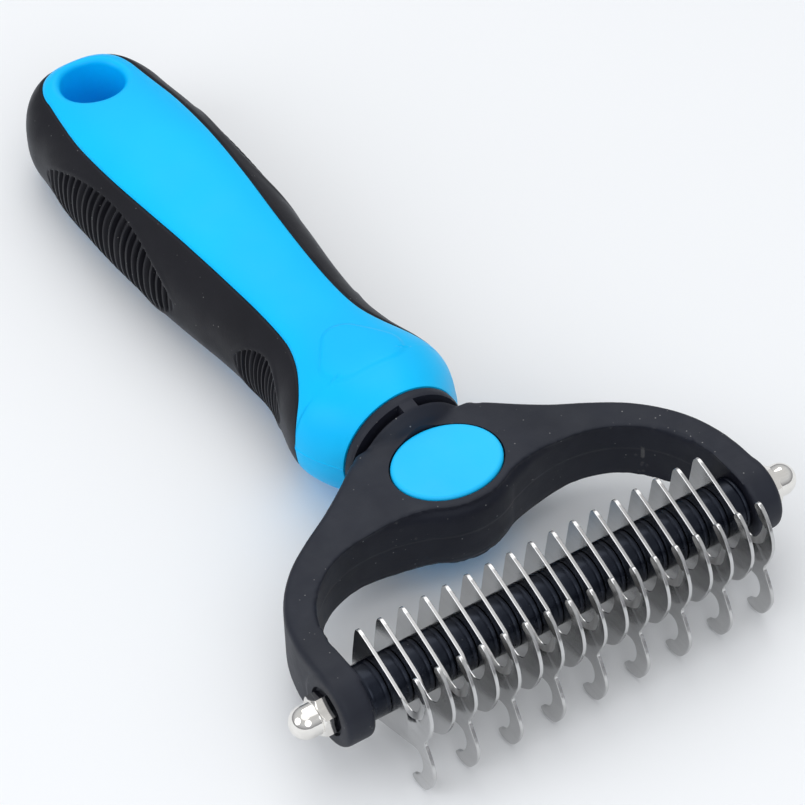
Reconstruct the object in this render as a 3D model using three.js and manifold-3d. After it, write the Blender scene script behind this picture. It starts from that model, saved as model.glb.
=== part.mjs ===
// Double-sided undercoat rake, resting on a table.
// Millimetres, +Z up. +X runs along the rake shaft, +Y from the rake head to the butt of the handle.
// Every piece is drawn in the tool's own frame (shaft axis through the origin, handle along +Y) and
// the tool group is then laid down on the hooks and the butt, bottom centre of its box at the origin.
import * as THREE from 'three'
import { mergeVertices } from 'three/addons/utils/BufferGeometryUtils.js'
import Module from 'manifold-3d'

// ---- driving dimensions ----
const GAP = 0.3                 // clearance between pieces that fit into each other
const FACE_GAP = 0.1            // clearance between faces stacked along the shaft
const WELD = 0.004              // vertices closer than this are one

const BLADE_COUNT = 17
const BLADE_PITCH = 4.5
const BLADE_THICKNESS = 0.7

const SHAFT_DIAMETER = 4        // M4 threaded rod
const SPACER_DIAMETER = 10.4
const BORE_DIAMETER = SHAFT_DIAMETER + 2 * GAP

const NUT_ACROSS_FLATS = 7      // M4 cap nut
const NUT_HEX_HEIGHT = 3.2
const NUT_HEIGHT = 8
const NUT_DOME_DIAMETER = 6.2
const NUT_BORE_DEPTH = 5.6

const KNUCKLE_INNER = 40.6      // inner and outer face of each knuckle, from the middle of the shaft
const KNUCKLE_OUTER = 46.4
const KNUCKLE_DIAMETER = 14.4
const NUT_RECESS_DIAMETER = 9.4
const NUT_RECESS_DEPTH = 0.8

const YOKE_THICKNESS = 13
const YOKE_EDGE = 1.4           // rounding of the yoke's long edges
const HUB_CENTRE_Y = 31.8
const HUB_THICKNESS = 15.4
const CAP_LENGTH = 21.4         // oval cap along X
const CAP_WIDTH = 17.8          // oval cap along Y
const CAP_THICKNESS = 2
const CAP_PROUD = 0.5
const HUB_RIM = 2.6             // width of hub face around the cap

const COLLAR_BACK_Y = 47.2      // collar ring that closes the handle's mouth
const COLLAR_FRONT_Y = 45.1
const COLLAR_RADIUS = 12.4
const COLLAR_CORE_RADIUS = 9.6
const HUB_BACK_Y = 43.2
const COLLAR_RIB_WIDTH = 3
const SHANK_RADIUS = 7
const SHANK_END_Y = 78

const MOUTH_Y = COLLAR_BACK_Y + GAP
const BUTT_Y = 170
const BUTT_RADIUS = 15          // end of the handle seen from above
const BUTT_EDGE = 9             // end of the handle seen from the side
const GRIP_THICKNESS = 2.2      // rubber over the core
const HANG_HOLE_Y = 157.2
const HANG_HOLE_RADIUS = 6.4
const PANEL_END_RADIUS = 10.2   // bare end of the core around the hanging hole

const PANEL_DEPTH = 0.9
const PALM_PANEL = { centre: 126, half: 24, rise: 9.0 }
const FINGER_PANEL = { centre: 74.5, half: 9.5, rise: 6.4 }

const REST_TILT = 0.8           // degrees that the butt lies below the shaft at rest

// Half-width, half-thickness and squareness of the handle's oval section at stations along it.
const HANDLE_STATIONS = [
  { y: MOUTH_Y, width: 12.7, height: 12.7, power: 2 },
  { y: 50, width: 14.2, height: 13.1, power: 2.05 },
  { y: 53, width: 15.7, height: 13.3, power: 2.15 },
  { y: 57, width: 16.7, height: 13.2, power: 2.3 },
  { y: 62, width: 15.8, height: 12.7, power: 2.5 },
  { y: 68, width: 14.0, height: 11.8, power: 2.6 },
  { y: 76, width: 13.0, height: 10.9, power: 2.6 },
  { y: 88, width: 13.6, height: 10.8, power: 2.6 },
  { y: 101, width: 15.2, height: 11.2, power: 2.6 },
  { y: 115, width: 16.4, height: 11.9, power: 2.6 },
  { y: 131, width: 16.9, height: 12.2, power: 2.6 },
  { y: 145, width: 16.2, height: 12.0, power: 2.6 },
  { y: 155, width: 15.2, height: 11.7, power: 2.6 },
  { y: BUTT_Y, width: 15.0, height: 11.7, power: 2.6 },
]

// Half-width of the bare core panel between the rubber sides.
const PANEL_STATIONS = [
  { y: 55.5, width: 18.5 },
  { y: 58, width: 15.6 },
  { y: 62, width: 12.6 },
  { y: 67, width: 10.0 },
  { y: 73, width: 8.3 },
  { y: 82, width: 7.9 },
  { y: 94, width: 8.5 },
  { y: 106, width: 9.5 },
  { y: 118, width: 10.7 },
  { y: 131, width: 11.7 },
  { y: 143, width: 11.8 },
  { y: 151, width: 11.0 },
  { y: HANG_HOLE_Y, width: PANEL_END_RADIUS },
]

// ---- materials ----
const standard = (color, roughness, metalness) =>
  new THREE.MeshStandardMaterial({ color, roughness, metalness })

const BLUE = standard(0x1ca4f4, 0.45, 0)
const CAP_BLUE = standard(0x35b4ff, 0.4, 0)
const RUBBER = standard(0x26262a, 0.75, 0)
const MOULDED_BLACK = standard(0x2f3036, 0.6, 0)
const GLOSS_BLACK = standard(0x0e1016, 0.3, 0)
const STEEL = standard(0xb4b6b8, 0.3, 1)
const NICKEL = standard(0xd4d2cc, 0.18, 1)

// ---- solids ----
const wasm = await Module()
wasm.setup()

// Turns a closed three.js geometry into a solid.
function solid(geometry) {
  const bare = geometry.index ? geometry.toNonIndexed() : geometry.clone()
  bare.deleteAttribute('normal')
  bare.deleteAttribute('uv')
  const merged = mergeVertices(bare, 1e-4)
  return new wasm.Manifold(new wasm.Mesh({
    numProp: 3,
    vertProperties: new Float32Array(merged.attributes.position.array),
    triVerts: new Uint32Array(merged.index.array),
  }))
}

// Turns a solid back into a geometry, with vertices closer than WELD joined.
function geometryOf(manifold) {
  const mesh = manifold.getMesh()
  const raw = new THREE.BufferGeometry()
  raw.setAttribute('position', new THREE.BufferAttribute(mesh.vertProperties, 3))
  raw.setIndex(new THREE.BufferAttribute(mesh.triVerts, 1))
  const geometry = mergeVertices(raw, WELD)
  const corners = geometry.index.array
  const kept = []
  for (let i = 0; i < corners.length; i += 3) {
    const [a, b, c] = corners.slice(i, i + 3)
    if (a !== b && b !== c && c !== a) {
      kept.push(a, b, c)
    }
  }
  geometry.setIndex(kept)
  geometry.computeVertexNormals()
  return geometry
}

function unite(solids) {
  return solids.reduce((sum, next) => sum.add(next))
}

const tool = new THREE.Group()

function addPiece(name, geometry, material) {
  const mesh = new THREE.Mesh(geometry, material)
  mesh.name = name
  tool.add(mesh)
  return mesh
}

function box(width, depth, height, x, y, z) {
  return new THREE.BoxGeometry(width, depth, height).translate(x, y, z)
}

// Cylinder along X from x0 to x1.
function rodAlongX(radius, x0, x1, sides) {
  const geometry = new THREE.CylinderGeometry(radius, radius, x1 - x0, sides)
  return geometry.rotateZ(-Math.PI / 2).translate((x0 + x1) / 2, 0, 0)
}

// Cylinder along Y from y0 to y1.
function rodAlongY(radius, y0, y1, sides) {
  const geometry = new THREE.CylinderGeometry(radius, radius, y1 - y0, sides)
  return geometry.translate(0, (y0 + y1) / 2, 0)
}

// Value of a station property at y, smoothed between stations.
function interpolate(stations, key, y) {
  const last = stations.length - 1
  let i = 0
  while (i < last - 1 && y > stations[i + 1].y) {
    i += 1
  }
  const at = (k) => stations[Math.min(Math.max(k, 0), last)]
  const slope = (k) => (at(k + 1)[key] - at(k - 1)[key]) / (at(k + 1).y - at(k - 1).y)
  const span = at(i + 1).y - at(i).y
  const t = Math.min(Math.max((y - at(i).y) / span, 0), 1)
  const a = at(i)[key]
  const b = at(i + 1)[key]
  const t2 = t * t
  const t3 = t2 * t
  return (2 * t3 - 3 * t2 + 1) * a + (3 * t2 - 2 * t3) * b +
    (t3 - 2 * t2 + t) * span * slope(i) + (t3 - t2) * span * slope(i + 1)
}

// Quarter-round factor that closes the end of the handle over a length of radius.
function endRound(y, end, radius) {
  const t = Math.min(Math.max((y - (end - radius)) / radius, 0), 0.996)
  return Math.sqrt(1 - t * t)
}

// ---- handle ----
const HANDLE_SIDES = 30
const HANDLE_RINGS = 25

// The handle's oval body, pulled in all round by inset.
function handleBody(inset) {
  const mouth = inset > 0 ? MOUTH_Y - 1 : MOUTH_Y
  const butt = BUTT_Y - inset
  const geometry = new THREE.CylinderGeometry(1, 1, 1, HANDLE_SIDES, HANDLE_RINGS)
  const position = geometry.attributes.position
  for (let i = 0; i < position.count; i += 1) {
    const along = position.getY(i) + 0.5
    const y = mouth + (butt - mouth) * (1 - Math.cos(Math.PI * along)) / 2
    const wide = (interpolate(HANDLE_STATIONS, 'width', y) - inset) * endRound(y, butt, BUTT_RADIUS)
    const high = (interpolate(HANDLE_STATIONS, 'height', y) - inset) * endRound(y, butt, BUTT_EDGE)
    const power = 2 / interpolate(HANDLE_STATIONS, 'power', y)
    const radius = Math.hypot(position.getX(i), position.getZ(i))
    const angle = Math.atan2(position.getZ(i), position.getX(i))
    const c = Math.cos(angle)
    const s = Math.sin(angle)
    const x = radius * wide * Math.sign(c) * Math.abs(c) ** power
    const z = radius * high * Math.sign(s) * Math.abs(s) ** power
    position.setXYZ(i, x, y, z)
  }
  return solid(geometry)
}

// Upright prism of the bare core panel, seen from above, from the mouth to round the hanging hole.
function panelPrism(offset) {
  const steps = 15
  const first = PANEL_STATIONS[0].y
  const side = []
  for (let i = 0; i <= steps; i += 1) {
    const y = first + (HANG_HOLE_Y - first) * i / steps
    side.push(new THREE.Vector2(interpolate(PANEL_STATIONS, 'width', y) + offset, y))
  }
  const outline = new THREE.Shape()
  outline.moveTo(-24, MOUTH_Y - 5)
  outline.lineTo(24, MOUTH_Y - 5)
  outline.lineTo(24, first)
  side.forEach((point) => outline.lineTo(point.x, point.y))
  const arcSteps = 10
  for (let i = 1; i < arcSteps; i += 1) {
    const angle = Math.PI * i / arcSteps
    const radius = PANEL_END_RADIUS + offset
    outline.lineTo(radius * Math.cos(angle), HANG_HOLE_Y + radius * Math.sin(angle))
  }
  side.reverse().forEach((point) => outline.lineTo(-point.x, point.y))
  outline.lineTo(-24, first)
  const geometry = new THREE.ExtrudeGeometry(outline, { depth: 40, bevelEnabled: false, curveSegments: 1 })
  return solid(geometry.translate(0, 0, -20))
}

// Lens-shaped prism along X that outlines a grip panel, seen from the side.
function lensPrism(panel) {
  const steps = 16
  const outline = new THREE.Shape()
  for (let i = 0; i < steps; i += 1) {
    const angle = 2 * Math.PI * (i + 0.5) / steps
    const along = Math.cos(angle)
    const across = Math.sign(Math.sin(angle)) * Math.abs(Math.sin(angle)) ** 1.4
    const u = panel.centre + panel.half * along
    const v = panel.rise * across
    if (i === 0) {
      outline.moveTo(u, v)
    } else {
      outline.lineTo(u, v)
    }
  }
  const geometry = new THREE.ExtrudeGeometry(outline, { depth: 60, bevelEnabled: false })
  geometry.rotateX(Math.PI / 2)
  geometry.rotateZ(Math.PI / 2)
  return solid(geometry.translate(-30, 0, 0))
}

const outerBody = handleBody(0)
const coreCutter = handleBody(GRIP_THICKNESS)
const coreInside = handleBody(GRIP_THICKNESS + GAP)
const hangHole = solid(
  new THREE.CylinderGeometry(HANG_HOLE_RADIUS, HANG_HOLE_RADIUS, 60, 24)
    .rotateX(Math.PI / 2)
    .translate(0, HANG_HOLE_Y, 0),
)
const socket = solid(rodAlongY(SHANK_RADIUS + GAP, MOUTH_Y - 5, SHANK_END_Y + GAP, 16))
const mouthTrim = solid(box(80, 20, 80, 0, MOUTH_Y - 10, 0))

const core = outerBody.intersect(panelPrism(-GAP)).add(coreInside)
  .subtract(mouthTrim).subtract(hangHole).subtract(socket)
addPiece('handle_core', geometryOf(core), BLUE)

const panelSkin = outerBody.subtract(handleBody(PANEL_DEPTH))
const grip = outerBody.subtract(coreCutter).subtract(panelPrism(0))
  .subtract(panelSkin.intersect(lensPrism(PALM_PANEL)))
  .subtract(panelSkin.intersect(lensPrism(FINGER_PANEL)))
addPiece('handle_grip', geometryOf(grip), RUBBER)

// ---- yoke ----
// Half outline from above: outer edge from the collar round the arm to the knuckle, and the inner edge.
const YOKE_OUTER = [
  [12.0, HUB_BACK_Y], [15.0, 40.8], [19.2, 37.8], [25, 34.3], [31, 30.9], [36.2, 27.2],
  [40.4, 22.8], [43.5, 17.8], [45.3, 12.4], [46.1, 6.8], [KNUCKLE_OUTER - 0.2, 0],
]
const YOKE_INNER = [
  [KNUCKLE_INNER, 0], [KNUCKLE_INNER, 6.6], [39.5, 12.2], [37.2, 17.0], [34.2, 20.6], [30.3, 23.4],
  [25.8, 25.1], [21, 25.7], [16.2, 25.3], [11.6, 24.1], [6.2, 22.2], [0, 21.4],
]

function yokeArms() {
  const right = YOKE_OUTER.concat(YOKE_INNER)
  const left = right.slice(0, -1).reverse().map(([x, y]) => [-x, y])
  const outline = new THREE.Shape()
  right.concat(left).forEach(([x, y], i) => {
    if (i === 0) {
      outline.moveTo(x, y)
    } else {
      outline.lineTo(x, y)
    }
  })
  const geometry = new THREE.ExtrudeGeometry(outline, {
    depth: YOKE_THICKNESS - 2 * YOKE_EDGE,
    bevelThickness: YOKE_EDGE,
    bevelSize: YOKE_EDGE,
    bevelOffset: -YOKE_EDGE,
    bevelSegments: 2,
  })
  return solid(geometry.translate(0, 0, YOKE_EDGE - YOKE_THICKNESS / 2))
}

function ovalPrism(length, width, z0, z1, segments) {
  const geometry = new THREE.CylinderGeometry(0.5, 0.5, z1 - z0, segments)
  geometry.rotateX(Math.PI / 2)
  geometry.scale(length, width, 1)
  return geometry.translate(0, HUB_CENTRE_Y, (z0 + z1) / 2)
}

// Solid of revolution about Y from [radius, y] pairs that start and end on the axis.
function turnedAboutY(profile, segments) {
  return new THREE.LatheGeometry(profile.map(([r, y]) => new THREE.Vector2(r, y)), segments)
}

const hubPad = solid(ovalPrism(
  CAP_LENGTH + 2 * HUB_RIM, CAP_WIDTH + 2 * HUB_RIM, -HUB_THICKNESS / 2, HUB_THICKNESS / 2, 32,
))
const hubFlare = solid(turnedAboutY([
  [0, 30], [7.2, 36], [7.8, 39.4], [9.1, 41.4], [10.8, 42.6], [11.9, HUB_BACK_Y], [0, HUB_BACK_Y],
], 28))
const collar = solid(turnedAboutY([
  [0, HUB_BACK_Y - 2], [COLLAR_CORE_RADIUS, HUB_BACK_Y - 2], [COLLAR_CORE_RADIUS, COLLAR_FRONT_Y],
  [COLLAR_RADIUS - 0.3, COLLAR_FRONT_Y], [COLLAR_RADIUS, COLLAR_FRONT_Y + 0.3],
  [COLLAR_RADIUS, COLLAR_BACK_Y], [0, COLLAR_BACK_Y],
], 28))
const collarRibs = [0, Math.PI / 2, Math.PI, 3 * Math.PI / 2].map((angle) => solid(
  box(COLLAR_RIB_WIDTH, COLLAR_FRONT_Y - HUB_BACK_Y + 1, 5, 0, (COLLAR_FRONT_Y + HUB_BACK_Y) / 2, 9.2)
    .rotateY(angle),
))
const shank = solid(rodAlongY(SHANK_RADIUS, HUB_BACK_Y, SHANK_END_Y, 16))
const knuckles = [-1, 1].map((side) => solid(rodAlongX(
  KNUCKLE_DIAMETER / 2,
  Math.min(side * KNUCKLE_INNER, side * KNUCKLE_OUTER),
  Math.max(side * KNUCKLE_INNER, side * KNUCKLE_OUTER),
  24,
)))
const nutRecesses = [-1, 1].map((side) => solid(rodAlongX(
  NUT_RECESS_DIAMETER / 2,
  side > 0 ? KNUCKLE_OUTER - NUT_RECESS_DEPTH : -KNUCKLE_OUTER - 5,
  side > 0 ? KNUCKLE_OUTER + 5 : NUT_RECESS_DEPTH - KNUCKLE_OUTER,
  20,
)))
const capFloor = HUB_THICKNESS / 2 - CAP_THICKNESS + CAP_PROUD - GAP
const capRecesses = [
  solid(ovalPrism(CAP_LENGTH + 2 * GAP, CAP_WIDTH + 2 * GAP, capFloor, 20, 32)),
  solid(ovalPrism(CAP_LENGTH + 2 * GAP, CAP_WIDTH + 2 * GAP, -20, -capFloor, 32)),
]
const shaftBore = solid(rodAlongX(BORE_DIAMETER / 2, -60, 60, 12))

const yoke = unite([yokeArms(), hubPad, hubFlare, collar, shank, ...collarRibs, ...knuckles])
  .subtract(unite([...nutRecesses, ...capRecesses, shaftBore]))
addPiece('yoke', geometryOf(yoke), MOULDED_BLACK)

// ---- oval caps in the hub, one on each face ----
function hubCap() {
  const edge = 0.6
  const top = HUB_THICKNESS / 2 + CAP_PROUD
  const outline = new THREE.Shape()
  outline.absellipse(0, HUB_CENTRE_Y, CAP_LENGTH / 2, CAP_WIDTH / 2, 0, 2 * Math.PI)
  const geometry = new THREE.ExtrudeGeometry(outline, {
    depth: CAP_THICKNESS - 2 * edge,
    bevelThickness: edge,
    bevelSize: edge,
    bevelOffset: -edge,
    bevelSegments: 2,
    curveSegments: 8,
  })
  return geometry.translate(0, 0, top - CAP_THICKNESS + edge)
}

addPiece('hub_cap_top', hubCap(), CAP_BLUE)
addPiece('hub_cap_bottom', hubCap().rotateY(Math.PI), CAP_BLUE)

// ---- blades ----
// Side view of a blade as [y, z], from the tip of the upper tooth round the front.
const BLADE_TOOTH = [
  [-11.9, 12.2], [-12.3, 13.1], [-13.2, 13.2], [-14.6, 12.2], [-15.7, 10.8], [-16.7, 9.0],
  [-17.3, 7.1], [-17.4, 5.3], [-17.0, 3.3], [-16.2, 1.2], [-15.4, -0.4],
]
const BLADE_HOOK = [
  [-15.2, -1.2], [-15.9, -2.4], [-16.8, -4.0], [-17.6, -5.8], [-17.8, -7.6], [-17.2, -9.6],
  [-16.2, -11.6], [-14.8, -13.0], [-13.0, -13.6], [-11.9, -13.4], [-11.5, -12.8], [-11.9, -11.9],
  [-13.1, -10.4], [-14.1, -8.6], [-14.4, -7.0], [-14.1, -5.6], [-13.3, -4.7], [-11.9, -4.6],
]
const BLADE_ROUND_END = [
  [-14.6, -1.7], [-13.6, -2.8], [-12.4, -3.7], [-11.2, -4.5],
]
const BLADE_BACK = [
  [-9.8, -5.3], [-1.9, -7.8], [4.6, -9.9], [5.7, -9.6], [6.4, -8.2], [7.2, -4.2], [7.6, -0.7],
  [7.3, 2.2], [6.7, 5.7], [6.1, 8.7], [5.6, 9.4], [4.6, 9.6], [-2.4, 7.1], [-8.4, 4.4],
  [-9.6, 3.7], [-10.8, 3.45], [-12.0, 4.1], [-12.9, 5.5], [-13.6, 7.4], [-13.8, 9.2],
  [-13.3, 10.5], [-12.5, 11.3],
]

function bladeGeometry(hooked) {
  const outline = new THREE.Shape()
  const front = hooked ? BLADE_HOOK : BLADE_ROUND_END
  BLADE_TOOTH.concat(front, BLADE_BACK).forEach(([y, z], i) => {
    if (i === 0) {
      outline.moveTo(y, z)
    } else {
      outline.lineTo(y, z)
    }
  })
  const bore = new THREE.Path()
  bore.absarc(0, 0, BORE_DIAMETER / 2, 0, 2 * Math.PI, true)
  outline.holes.push(bore)
  const geometry = new THREE.ExtrudeGeometry(outline, {
    depth: BLADE_THICKNESS,
    bevelEnabled: false,
    curveSegments: 6,
  })
  geometry.rotateX(Math.PI / 2)
  geometry.rotateZ(Math.PI / 2)
  return geometry.translate(-BLADE_THICKNESS / 2, 0, 0)
}

const bladeX = (index) => (index - (BLADE_COUNT - 1) / 2) * BLADE_PITCH
const twoDigits = (value) => String(value).padStart(2, '0')

for (let i = 0; i < BLADE_COUNT; i += 1) {
  const hooked = i % 2 === 0
  const blade = addPiece(`blade_${twoDigits(i + 1)}`, bladeGeometry(hooked), STEEL)
  blade.position.x = bladeX(i)
}

// ---- shaft, spacers and nuts ----
// Ring from x0 to x1 with the shaft's bore.
function spacerGeometry(x0, x1) {
  const outer = SPACER_DIAMETER / 2
  const inner = BORE_DIAMETER / 2
  const profile = [[inner, x0], [outer, x0], [outer, x1], [inner, x1], [inner, x0]]
  return turnedAboutY(profile, 16).rotateZ(-Math.PI / 2)
}

const spacerEnds = [[FACE_GAP - KNUCKLE_INNER, bladeX(0) - BLADE_THICKNESS / 2 - FACE_GAP]]
for (let i = 1; i < BLADE_COUNT; i += 1) {
  spacerEnds.push([
    bladeX(i - 1) + BLADE_THICKNESS / 2 + FACE_GAP,
    bladeX(i) - BLADE_THICKNESS / 2 - FACE_GAP,
  ])
}
spacerEnds.push([bladeX(BLADE_COUNT - 1) + BLADE_THICKNESS / 2 + FACE_GAP, KNUCKLE_INNER - FACE_GAP])
spacerEnds.forEach(([x0, x1], i) => {
  addPiece(`spacer_${twoDigits(i + 1)}`, spacerGeometry(x0, x1), GLOSS_BLACK)
})

const nutSeat = KNUCKLE_OUTER - NUT_RECESS_DEPTH
const shaftEnd = nutSeat + NUT_BORE_DEPTH - 0.6
addPiece('shaft', rodAlongX(SHAFT_DIAMETER / 2, -shaftEnd, shaftEnd, 12), NICKEL)

// Cap nut: hexagon, collar and dome about the shaft axis, with a blind bore.
function capNut() {
  const hexRadius = NUT_ACROSS_FLATS / Math.sqrt(3)
  const base = nutSeat + FACE_GAP
  const hexagon = solid(rodAlongX(hexRadius, base, base + NUT_HEX_HEIGHT, 6))
  const domeRadius = NUT_DOME_DIAMETER / 2
  const profile = [[0, base], [domeRadius - 0.1, base], [domeRadius - 0.1, base + NUT_HEX_HEIGHT + 1]]
  const arcSteps = 5
  for (let i = 0; i <= arcSteps; i += 1) {
    const angle = (Math.PI / 2) * i / arcSteps
    const rise = NUT_HEIGHT - NUT_HEX_HEIGHT - 1.2
    const radius = i === arcSteps ? 0 : domeRadius * Math.cos(angle)
    profile.push([radius, base + NUT_HEX_HEIGHT + 1.2 + rise * Math.sin(angle)])
  }
  const dome = solid(turnedAboutY(profile, 16).rotateZ(-Math.PI / 2))
  const bore = solid(rodAlongX(BORE_DIAMETER / 2, base - 2, base + NUT_BORE_DEPTH, 12))
  return hexagon.add(dome).subtract(bore)
}

const rightNut = geometryOf(capNut())
addPiece('cap_nut_right', rightNut, NICKEL)
addPiece('cap_nut_left', rightNut.clone().rotateZ(Math.PI), NICKEL)

// ---- resting pose ----
// The tool lies on the lower hooks and on the underside of the handle near the butt.
tool.rotation.x = -THREE.MathUtils.degToRad(REST_TILT)
const bounds = new THREE.Box3().setFromObject(tool, true)
tool.position.set(0, -(bounds.min.y + bounds.max.y) / 2, -bounds.min.z)

const rake = new THREE.Group()
rake.add(tool)

export default rake
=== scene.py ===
from math import cos, pi, radians, sin, sqrt

import bmesh
import bpy
import numpy as np
from mathutils import Matrix, Vector


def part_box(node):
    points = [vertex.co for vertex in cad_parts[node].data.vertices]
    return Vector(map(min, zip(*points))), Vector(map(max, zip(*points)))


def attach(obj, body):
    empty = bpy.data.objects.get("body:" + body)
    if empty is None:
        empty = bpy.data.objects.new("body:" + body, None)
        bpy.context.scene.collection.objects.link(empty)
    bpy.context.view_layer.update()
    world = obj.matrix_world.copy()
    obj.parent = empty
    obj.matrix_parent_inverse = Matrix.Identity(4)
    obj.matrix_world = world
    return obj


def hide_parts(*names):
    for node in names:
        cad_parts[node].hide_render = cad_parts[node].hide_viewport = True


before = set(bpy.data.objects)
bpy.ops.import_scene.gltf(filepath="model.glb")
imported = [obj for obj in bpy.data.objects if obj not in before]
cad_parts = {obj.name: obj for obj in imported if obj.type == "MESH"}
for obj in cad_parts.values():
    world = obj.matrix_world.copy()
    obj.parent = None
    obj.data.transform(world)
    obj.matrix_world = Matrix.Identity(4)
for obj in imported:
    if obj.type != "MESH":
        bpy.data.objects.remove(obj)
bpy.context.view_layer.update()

MM = 0.001

# ---- the tool's own frame: shaft axis through the origin, handle along +Y, in millimetres ----
REST_TILT = radians(0.8)
shaft_low, shaft_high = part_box("shaft")
SHAFT_CENTRE = (Vector(shaft_low) + Vector(shaft_high)) / 2
TOOL_TO_ROW = Matrix.Translation(SHAFT_CENTRE) @ Matrix.Rotation(-REST_TILT, 4, "X") @ Matrix.Scale(MM, 4)

BLADE_COUNT = 17
MIDDLE_BLADE = 9
BLADE_PITCH = 4.5
BLADE_THICKNESS = 0.7
SPACER_RADIUS = 5.2
KNUCKLE_INNER = 40.6
KNUCKLE_OUTER = 46.4
KNUCKLE_RADIUS = 7.2
NUT_RECESS_RADIUS = 4.7
NUT_RECESS_DEPTH = 0.8
SPACER_GAP = 0.1
BORE_RADIUS = 2.3
NUT_BORE_RADIUS = 2.2
NUT_SEAT = 45.7
NUT_HALF_FLATS = 3.5
NUT_DOME_RADIUS = 3.1
NUT_DOME_START = 4.9
YOKE_HALF = 6.5
HUB_CENTRE_Y = 31.8
HUB_HALF = 7.7
CAP_HALF_LENGTH = 10.7
CAP_HALF_WIDTH = 8.9
CAP_THICKNESS = 2
CAP_RISE = 0.5
CAP_GAP = 0.3
CAP_EDGE = 0.75
HUB_MARGIN = 2.6
HUB_HALF_LENGTH = CAP_HALF_LENGTH + HUB_MARGIN
HUB_HALF_WIDTH = CAP_HALF_WIDTH + HUB_MARGIN
HUB_BACK_Y = 43.2
COLLAR_FRONT_Y = 45.1
COLLAR_BACK_Y = 47.2
COLLAR_RADIUS = 12.4
COLLAR_CORE_RADIUS = 9.6
COLLAR_RIB_HALF = 1.5
SHANK_RADIUS = 7
SHANK_END_Y = 78
SOCKET_RADIUS = 7.3
SOCKET_END_Y = 79
MOUTH_Y = 47.3
BUTT_Y = 170.0
BUTT_RADIUS = 15.0
BUTT_EDGE = 9.0
HANG_HOLE_Y = 157.2
HANG_HOLE_RADIUS = 6.4
PANEL_END_RADIUS = 10.2
BUTT_CENTRE_Y = 146.0
THUMB_TRIANGLE = ((0.0, 72.6), (-12.3, 55.4), (12.3, 55.4))
THUMB_ROUNDING = 4.3
THUMB_HEIGHT = 0.34
THUMB_EDGE = 0.26

# y, half-width, half-thickness and squareness of the handle's oval section
HANDLE = np.array([
    (MOUTH_Y, 12.45, 12.45, 2.0), (50, 14.2, 13.1, 2.05), (53, 15.7, 13.3, 2.15),
    (57, 16.7, 13.2, 2.3), (62, 15.8, 12.7, 2.5), (68, 14.0, 11.8, 2.6), (76, 13.0, 10.9, 2.6),
    (88, 13.6, 10.8, 2.6), (101, 15.2, 11.2, 2.6), (115, 16.4, 11.9, 2.6),
    (131, 16.9, 12.2, 2.6), (145, 16.2, 12.0, 2.6), (155, 15.2, 11.7, 2.6),
    (BUTT_Y, 15.0, 11.7, 2.6),
])
# y and half-width of the bare core panel
PANEL = np.array([
    (55.5, 18.5), (58, 15.6), (62, 12.6), (67, 10.0), (73, 8.3), (82, 7.9), (94, 8.5),
    (106, 9.5), (118, 10.7), (131, 11.7), (143, 11.8), (151, 11.0),
    (HANG_HOLE_Y, PANEL_END_RADIUS),
])
# centre along the handle, half-length, half-height, rib pitch and depth of the two grip panels
GRIP_PANELS = ((126.0, 24.0, 8.35, 2.02, 1.15), (74.5, 9.5, 6.4, 1.4, 0.85))


# ---- general helpers ----
def smoothstep(low, high, value):
    t = np.clip((value - low) / (high - low), 0.0, 1.0)
    return t * t * (3.0 - 2.0 * t)


def station(table, column, y):
    """Smooth value of a station column at y."""
    ys = table[:, 0]
    vs = table[:, column]
    slopes = np.empty_like(vs)
    slopes[1:-1] = (vs[2:] - vs[:-2]) / (ys[2:] - ys[:-2])
    slopes[0] = (vs[1] - vs[0]) / (ys[1] - ys[0])
    slopes[-1] = (vs[-1] - vs[-2]) / (ys[-1] - ys[-2])
    y = np.asarray(y, float)
    i = np.clip(np.searchsorted(ys, y, side="right") - 1, 0, len(ys) - 2)
    span = ys[i + 1] - ys[i]
    t = np.clip((y - ys[i]) / span, 0.0, 1.0)
    a = 2 * t**3 - 3 * t**2 + 1
    b = t**3 - 2 * t**2 + t
    c = t**3 - t**2
    return a * vs[i] + b * span * slopes[i] + (1 - a) * vs[i + 1] + c * span * slopes[i + 1]


SAMPLE_STEP = 0.1
SAMPLE_MARGIN = 9
KERNEL_REACH = 60
HANDLE_SAMPLES = np.arange(MOUTH_Y - SAMPLE_MARGIN, BUTT_Y + SAMPLE_MARGIN, SAMPLE_STEP)


def faired(column, spread=1.6):
    """A handle property sampled along the handle, with its curvature made continuous."""
    inside = np.clip(HANDLE_SAMPLES, MOUTH_Y, BUTT_Y)
    start_slope = (HANDLE[1, column] - HANDLE[0, column]) / (HANDLE[1, 0] - HANDLE[0, 0])
    values = station(HANDLE, column, inside) + start_slope * np.minimum(HANDLE_SAMPLES - MOUTH_Y, 0)
    kernel = np.exp(-0.5 * (np.arange(-KERNEL_REACH, KERNEL_REACH + 1) * SAMPLE_STEP / spread) ** 2)
    return np.convolve(np.pad(values, KERNEL_REACH, mode="edge"), kernel / kernel.sum(), mode="valid")


FAIRED = {column: faired(column) for column in (1, 2, 3)}


def handle_value(column, y):
    return np.interp(np.asarray(y, float), HANDLE_SAMPLES, FAIRED[column])


def end_round(y, radius):
    t = np.clip((np.asarray(y, float) - (BUTT_Y - radius)) / radius, 0.0, 1.0)
    return np.sqrt(1.0 - t * t)


def half_width(y):
    return handle_value(1, y) * end_round(y, BUTT_RADIUS)


def half_height(y):
    return handle_value(2, y) * end_round(y, BUTT_EDGE)


def panel_half_width(y):
    y = np.asarray(y, float)
    arc = np.sqrt(np.clip(PANEL_END_RADIUS**2 - (y - HANG_HOLE_Y) ** 2, 0.0, None))
    return np.where(y > HANG_HOLE_Y, arc, station(PANEL, 1, y))


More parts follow.
